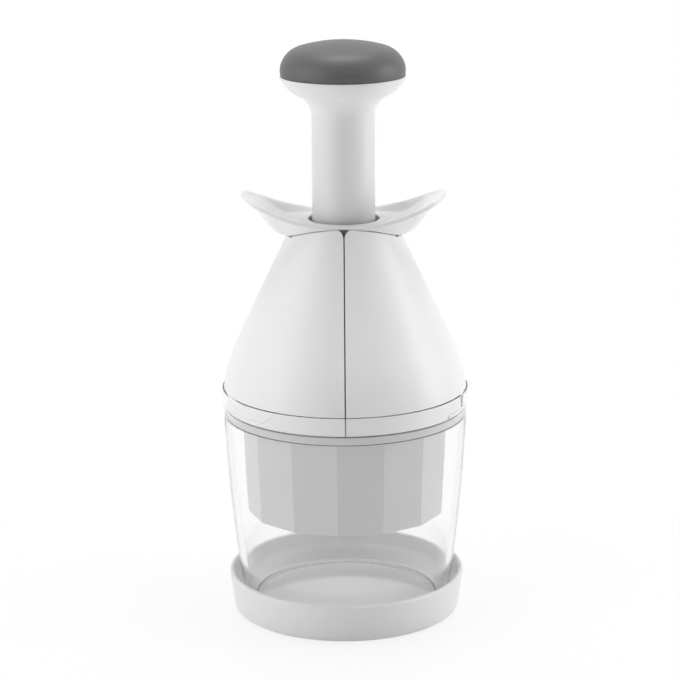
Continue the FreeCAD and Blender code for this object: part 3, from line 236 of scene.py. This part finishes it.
FINISHES = {
    "dish_white": moulded_plastic("dish white", (0.80, 0.80, 0.80), 0.38),
    "ring_rubber": moulded_plastic("ring rubber", (0.32, 0.32, 0.33), 0.80, grain=0.8, depth=0.08),
    "cup_clear": clear_plastic("cup clear", (0.985, 0.985, 0.985), 0.015),
    "shell_white": moulded_plastic("shell white", (0.84, 0.84, 0.84), 0.40),
    "frame_white": moulded_plastic("frame white", (0.80, 0.80, 0.80), 0.45),
    "fastener_steel": drawn_steel("fastener steel", (0.56, 0.57, 0.58), 0.32),
    "bearing_plastic": moulded_plastic("bearing plastic", (0.74, 0.73, 0.70), 0.42),
    # Guard: white plastic whose colour is lowered to grey, a painted shade for the shade inside the cup under
    # the housing
    "guard_white": moulded_plastic("guard white with painted shade", (0.60, 0.60, 0.60), 0.24),
    "spring_steel": drawn_steel("spring steel", (0.60, 0.60, 0.61), 0.28),
    "stem_white": moulded_plastic("stem white", (0.80, 0.80, 0.80), 0.38),
    "grip_grey": moulded_plastic("grip grey", (0.10, 0.10, 0.10), 0.46, grain=0.35, depth=0.06),
    "spindle_steel": drawn_steel("spindle steel", (0.58, 0.58, 0.59), 0.30),
    "carrier_white": moulded_plastic("carrier white", (0.76, 0.76, 0.77), 0.45),
    "blade_steel": drawn_steel("blade steel", (0.62, 0.63, 0.64), 0.24),
    "wiper_white": moulded_plastic("wiper white", (0.78, 0.78, 0.79), 0.45),
    "collar_white": moulded_plastic("collar white", (0.84, 0.84, 0.84), 0.36),
}


def dress_nodes():
    """Gives each carried-over node the finish of its own slot."""
    for row in frame["record"]["subparts"]:
        nodes[row["node"]].material_slots[0].material = FINISHES[row["material_slot"]]


dress_nodes()


# Collar with softly rounded wings, in place of the carried-over one
# Its sizes are in mm, with heights above the worktop and x along the wings

COLLAR_SEGMENTS = 360

# Plan: two tip arcs, joined by two long arcs
HALF_LENGTH = 43.75
HALF_WIDTH = 20.35
TIP_RADIUS = 15.0

# Rim: its lowest height, the rise of the tips over it, and the (inset, drop) of each ring round the edge
CREST = 173.7
TIP_RISE = 12.1
RIM_DEPTH = 2.3
RIM_PROFILE = [
    (0.9, 0.0), (0.6, 0.05), (0.34, 0.19), (0.14, 0.42), (0.03, 0.72), (0.0, 1.05),
    (0.03, 1.35), (0.07, 1.70), (0.20, 2.02), (0.45, 2.24), (0.8, RIM_DEPTH),
]

# Boss round the stem, with the (radius, drop) of each ring from its bore outwards
BORE_RADIUS = 15.2
BOSS_RADIUS = 18.6
BOSS_HEIGHT = 173.75
BOSS_PROFILE = [
    (BORE_RADIUS, 0.30), (BORE_RADIUS + 0.08, 0.08), (BORE_RADIUS + 0.30, 0.0), (17.5, 0.0), (17.9, 0.10),
]

# Hollow of the wings and the wall that rises from it to the rim
DISH_LOW = 166.5
DISH_RADIUS = 50.8
DISH_FLOOR_BLEND = 0.6
SKIN = 0.4
LEDGE_DROP = 0.3
LEDGE_SLOPE = 0.012
LEDGE_BLEND = 0.4
HOLLOW_STEPS = 14
HOLLOW_INSET = 4.2
HOLLOW_LEAST = 0.15
WALL_STEPS = 10
WALL_INSET = 1.3

# Underside of the wings, down to a foot that is wider along the wings and stands on the shells' saddle
HULL_STEPS = 16
HULL_INSET = 0.9
HULL_TIP_INSET = 4.6
FOOT_RADIUS = 20.0
FOOT_STRETCH = 4.0
FOOT_WALL = 0.5
FOOT_BEVEL = 0.03
ROOF = 172.4
SADDLE_TOP = 172.6
SADDLE_RADIUS = 51.0
SADDLE_GAP = 0.1


def soft_max(a, b, reach):
    """The larger of two heights, rounded where they cross."""
    return (a + b + math.hypot(a - b, reach)) / 2


def soft_min(a, b, reach):
    """The smaller of two heights, rounded where they cross."""
    return (a + b - math.hypot(a - b, reach)) / 2


def ease(share):
    """0 to 1 with a level start and end."""
    return share * share * (3.0 - 2.0 * share)


def blend(start, end, share):
    """The value at a share of the way from start to end."""
    return start + (end - start) * share


def rise(radius, x):
    """How far an arc has risen over its lowest point at x."""
    return radius - math.sqrt(radius ** 2 - x ** 2)


def outline(turn):
    """Radius of the collar's plan at an angle, and the cosine between the ray and the edge's normal."""
    along = abs(math.cos(turn))
    across = abs(math.sin(turn))
    centre = HALF_LENGTH - TIP_RADIUS
    long_arc = (centre ** 2 + HALF_WIDTH ** 2 - TIP_RADIUS ** 2) / (2 * (HALF_WIDTH - TIP_RADIUS))
    back = long_arc - HALF_WIDTH
    switch = math.atan2(back * TIP_RADIUS, long_arc * centre)
    if math.atan2(across, along) < switch:
        reach = centre * along + math.sqrt(TIP_RADIUS ** 2 - (centre * across) ** 2)
        return reach, (reach - centre * along) / TIP_RADIUS
    reach = math.sqrt((back * across) ** 2 + long_arc ** 2 - back ** 2) - back * across
    return reach, (reach + back * across) / long_arc


def inside(turn, inset):
    """Radius of the point at an angle that lies a distance inside the plan's edge."""
    reach, slant = outline(turn)
    return reach - inset / slant


def hollow_end(turn):
    """Radius at which the hollow ends and the wall starts."""
    return max(BOSS_RADIUS + HOLLOW_LEAST, inside(turn, HOLLOW_INSET))


def foot(turn):
    """Radius of the foot."""
    return FOOT_RADIUS + FOOT_STRETCH * math.cos(turn) ** 2


def crest(x):
    """Height of the rim, an arc that passes through both tips."""
    radius = (HALF_LENGTH ** 2 + TIP_RISE ** 2) / (2 * TIP_RISE)
    return CREST + rise(radius, x)


def shell_top(x):
    """Height just above the saddle that the half shells end in."""
    return SADDLE_TOP + SADDLE_GAP - rise(SADDLE_RADIUS + SADDLE_GAP, x)


def dish(x):
    """Height of the hollow, which stays above the shells and below the rim."""
    least = max(ROOF, shell_top(x)) + SKIN
    most = crest(x) - LEDGE_DROP - LEDGE_SLOPE * abs(x)
    height = soft_max(DISH_LOW + rise(DISH_RADIUS, x), least, DISH_FLOOR_BLEND)
    return max(least, soft_min(height, most, LEDGE_BLEND))


def boss_ring(turn, radius, drop):
    """Top of the boss, the same all round."""
    return radius, BOSS_HEIGHT - drop


def hollow_ring(turn, share):
    """Hollow of the wings, from the boss to the wall."""
    radius = blend(BOSS_RADIUS, hollow_end(turn), share)
    return radius, dish(radius * math.cos(turn))


def wall_ring(turn, share):
    """Wall that rises from the hollow to the rim."""
    radius = blend(hollow_end(turn), inside(turn, WALL_INSET), share)
    x = radius * math.cos(turn)
    return radius, blend(dish(x), crest(x), ease(share))


def rim_ring(turn, inset, drop):
    """Rounded rim, which stays above the shells in the middle."""
    radius = inside(turn, inset)
    x = radius * math.cos(turn)
    low = shell_top(x) if abs(x) < BOSS_RADIUS else 0.0
    return radius, max(crest(x) - drop, low)


def hull_ring(turn, share):
    """Underside of the wings, from the rim down to the foot."""
    start = inside(turn, HULL_INSET + HULL_TIP_INSET * math.cos(turn) ** 8)
    end = foot(turn)
    low = shell_top(end * math.cos(turn))
    high = max(crest(start * math.cos(turn)) - RIM_DEPTH, low)
    return blend(start, end, share), blend(high, low, 1.0 - (1.0 - share) ** 2)


def foot_ring(turn):
    """Inner edge of the foot, on the shells."""
    radius = foot(turn) - FOOT_WALL
    return radius, shell_top(radius * math.cos(turn))


def roof_ring(turn, radius):
    """Roof over the shells, inside the foot."""
    return radius, max(ROOF, shell_top(radius * math.cos(turn)))


def roof_edge_ring(turn):
    """Edge of the roof, next to the foot."""
    return roof_ring(turn, foot(turn) - FOOT_WALL - FOOT_BEVEL)


def collar_rings():
    """The rings of the collar's skin in order, each a function of the angle with its other values."""
    rings = [(boss_ring, radius, drop) for radius, drop in BOSS_PROFILE]
    rings += [(hollow_ring, step / HOLLOW_STEPS) for step in range(HOLLOW_STEPS + 1)]
    rings += [(wall_ring, step / WALL_STEPS) for step in range(1, WALL_STEPS + 1)]
    rings += [(rim_ring, inset, drop) for inset, drop in RIM_PROFILE]
    rings += [(hull_ring, step / HULL_STEPS) for step in range(HULL_STEPS + 1)]
    rings += [(foot_ring,), (roof_edge_ring,), (roof_ring, BOSS_RADIUS), (roof_ring, BORE_RADIUS)]
    return rings


def soft_collar():
    """Extrudes a circle through every ring and joins the last one to the first."""
    bm = bmesh.new()
    bmesh.ops.create_circle(bm, cap_ends=False, radius=1.0, segments=COLLAR_SEGMENTS)
    edges = list(bm.edges)
    first = edges
    for index, (ring, *values) in enumerate(collar_rings()):
        verts = list(bm.verts)
        if index:
            grown = bmesh.ops.extrude_edge_only(bm, edges=edges)["geom"]
            verts = [item for item in grown if isinstance(item, bmesh.types.BMVert)]
            edges = [item for item in grown if isinstance(item, bmesh.types.BMEdge) and item.is_boundary]
        for vert in verts:
            turn = math.atan2(vert.co.y, vert.co.x)
            radius, height = ring(turn, *values)
            vert.co = (radius * math.cos(turn) * MM, radius * math.sin(turn) * MM, height * MM)
    bmesh.ops.bridge_loops(bm, edges=first + edges)
    bmesh.ops.recalc_face_normals(bm, faces=bm.faces)
    for face in bm.faces:
        face.smooth = True
    collar = mesh_piece("collar_soft", bm)
    collar.data.materials.append(FINISHES["collar_white"])
    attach(collar, "housing")
    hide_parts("collar")


soft_collar()


# Return spring that closes up as the plunger goes down

SPRING_WIRE = 1.4 * MM
SPRING_TURNS = 10
SPRING_TURN_STEPS = 36
SPRING_WIRE_SIDES = 12


def closing_spring():
    """A wire circle spun upwards round the plunger's axis."""
    low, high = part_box("return_spring")
    radius = high[0] - SPRING_WIRE / 2
    rise_per_step = (high[2] - low[2] - SPRING_WIRE) / (SPRING_TURNS * SPRING_TURN_STEPS)
    start = Matrix.Translation((radius, 0.0, low[2] + SPRING_WIRE / 2)) @ Matrix.Rotation(math.pi / 2, 4, "X")
    bm = bmesh.new()
    bmesh.ops.create_circle(
        bm, cap_ends=True, radius=SPRING_WIRE / 2, segments=SPRING_WIRE_SIDES, matrix=start,
    )
    spun = bmesh.ops.spin(
        bm, geom=list(bm.edges), cent=(0.0, 0.0, 0.0), axis=(0.0, 0.0, 1.0),
        dvec=(0.0, 0.0, rise_per_step), angle=math.tau * SPRING_TURNS,
        steps=SPRING_TURNS * SPRING_TURN_STEPS,
    )
    last = [item for item in spun["geom_last"] if isinstance(item, bmesh.types.BMEdge)]
    bmesh.ops.holes_fill(bm, edges=last, sides=0)
    bmesh.ops.recalc_face_normals(bm, faces=bm.faces)
    for face in bm.faces:
        face.smooth = len(face.verts) == 4
    spring = mesh_piece("closing_spring", bm)
    spring.data.materials.append(FINISHES["spring_steel"])
    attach(spring, "plunger")
    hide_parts("return_spring")
    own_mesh(spring)


closing_spring()


# Studio: world, floor, lamps and camera, with places in metres

# Rays that see the world and the far floor as white
WHITE_RAYS = ("Is Camera Ray", "Is Glossy Ray", "Is Transmission Ray")

# The world's light comes from directions with y above WORLD_FRONT, and is full from WORLD_SIDE on
WORLD_FRONT = -0.9
WORLD_SIDE = -0.2
WORLD_FRONT_LEVEL = 0.0
WORLD_SIDE_LEVEL = 0.515

# The floor turns white to those rays between the radii FLOOR_NEAR and FLOOR_FAR
FLOOR_REACH = 3.0
FLOOR_GREY = 0.90
FLOOR_ROUGHNESS = 0.22
FLOOR_NEAR = 0.07
FLOOR_FAR = 0.20
FLOOR_NEAR_WHITE = 0.80

# Upright strips round the object: watts by the angle from the front, to the right where it is positive
STRIPS = {-90: 1.0, -65: 3.2, -40: 0.7, 65: 0.5, 90: 4.8}
STRIP_DISTANCE = 1.0
STRIP_LEVEL = 0.30
STRIP_WIDTH = 0.30
STRIP_HEIGHT = 0.90
STRIP_AIM = (0.0, 0.0, 0.12)

TOP_BOX_PLACE = (0.0, 0.10, 1.15)
TOP_BOX_AIM = (0.0, 0.0, 0.15)
TOP_BOX_WIDTH = 0.7
TOP_BOX_DEPTH = 0.5
TOP_BOX_WATTS = 6.3

CAMERA_PLACE = (0.0, -1.0, 0.3829)
CAMERA_PITCH = math.radians(14.738)
CAMERA_ROLL = math.radians(-0.43)
CAMERA_SENSOR = 36.0
CAMERA_LENS = 126.96
CAMERA_SHIFT = -0.0070


def studio_world():
    """A world that looks white, and lights the object less from the front than from the sides and above."""
    world = bpy.data.worlds.new("studio")
    bpy.context.scene.world = world
    world.use_nodes = True
    tree = world.node_tree
    background = tree.nodes["Background"]
    direction = add(tree, "ShaderNodeSeparateXYZ")
    wire(tree, add(tree, "ShaderNodeTexCoord").outputs["Generated"], direction.inputs[0])
    ambient = add(tree, "ShaderNodeMapRange")
    wire(tree, direction.outputs["Y"], ambient.inputs["Value"])
    set_inputs(ambient, {"From Min": WORLD_FRONT, "From Max": WORLD_SIDE})
    set_inputs(ambient, {"To Min": WORLD_FRONT_LEVEL, "To Max": WORLD_SIDE_LEVEL})
    level = add(tree, "ShaderNodeMapRange")
    wire(tree, any_ray(tree, *WHITE_RAYS), level.inputs["Value"])
    wire(tree, ambient.outputs["Result"], level.inputs["To Min"])
    level.inputs["To Max"].default_value = 1.0
    background.inputs["Color"].default_value = (1.0, 1.0, 1.0, 1.0)
    wire(tree, level.outputs["Result"], background.inputs["Strength"])


def floor_material():
    """Pale floor that glows white to the camera far out and keeps the object's shadow near it."""
    material, tree, shader = new_material("floor white")
    shader.inputs["Base Color"].default_value = (FLOOR_GREY, FLOOR_GREY, FLOOR_GREY, 1.0)
    shader.inputs["Roughness"].default_value = FLOOR_ROUGHNESS
    distance = add(tree, "ShaderNodeVectorMath", operation="LENGTH")
    wire(tree, add(tree, "ShaderNodeTexCoord").outputs["Object"], distance.inputs[0])
    white = add(tree, "ShaderNodeMapRange", interpolation_type="SMOOTHSTEP")
    wire(tree, distance.outputs["Value"], white.inputs["Value"])
    set_inputs(white, {"From Min": FLOOR_NEAR, "From Max": FLOOR_FAR})
    set_inputs(white, {"To Min": FLOOR_NEAR_WHITE, "To Max": 1.0})
    glow = add(tree, "ShaderNodeEmission")
    glow.inputs["Strength"].default_value = 1.0
    share = calculate(tree, "MULTIPLY", any_ray(tree, *WHITE_RAYS), white.outputs["Result"])
    show_mix(tree, share, shader, glow)
    return material


def floor():
    """The floor that the object stands on."""
    bm = bmesh.new()
    bmesh.ops.create_grid(bm, x_segments=1, y_segments=1, size=FLOOR_REACH)
    ground = mesh_piece("floor", bm)
    ground.data.materials.append(floor_material())


def lamp(name, place, aim, width, height, watts):
    """A soft box at a place, turned to a point of the object and not seen through the cup."""
    light = bpy.data.lights.new(name, "AREA")
    light.shape = "RECTANGLE"
    light.size = width
    light.size_y = height
    light.energy = watts
    box = put_in_scene(name, light)
    box.visible_transmission = False
    box.location = place
    box.rotation_euler = (Vector(aim) - Vector(place)).to_track_quat("-Z", "Y").to_euler()


def lamps():
    """The strips round the object and the box over it."""
    for degrees, watts in STRIPS.items():
        turn = math.radians(degrees)
        place = (STRIP_DISTANCE * math.sin(turn), -STRIP_DISTANCE * math.cos(turn), STRIP_LEVEL)
        lamp(f"strip {degrees}", place, STRIP_AIM, STRIP_WIDTH, STRIP_HEIGHT, watts)
    lamp("top box", TOP_BOX_PLACE, TOP_BOX_AIM, TOP_BOX_WIDTH, TOP_BOX_DEPTH, TOP_BOX_WATTS)


def camera():
    """The camera in front, which looks down a little."""
    data = bpy.data.cameras.new("camera")
    data.sensor_width = CAMERA_SENSOR
    data.lens = CAMERA_LENS
    data.shift_x = CAMERA_SHIFT
    eye = put_in_scene("camera", data)
    turn = Matrix.Rotation(math.pi / 2 - CAMERA_PITCH, 4, "X") @ Matrix.Rotation(CAMERA_ROLL, 4, "Z")
    eye.matrix_world = Matrix.Translation(CAMERA_PLACE) @ turn
    bpy.context.scene.camera = eye


studio_world()
floor()
lamps()
camera()
bpy.context.scene.view_settings.view_transform = "Standard"
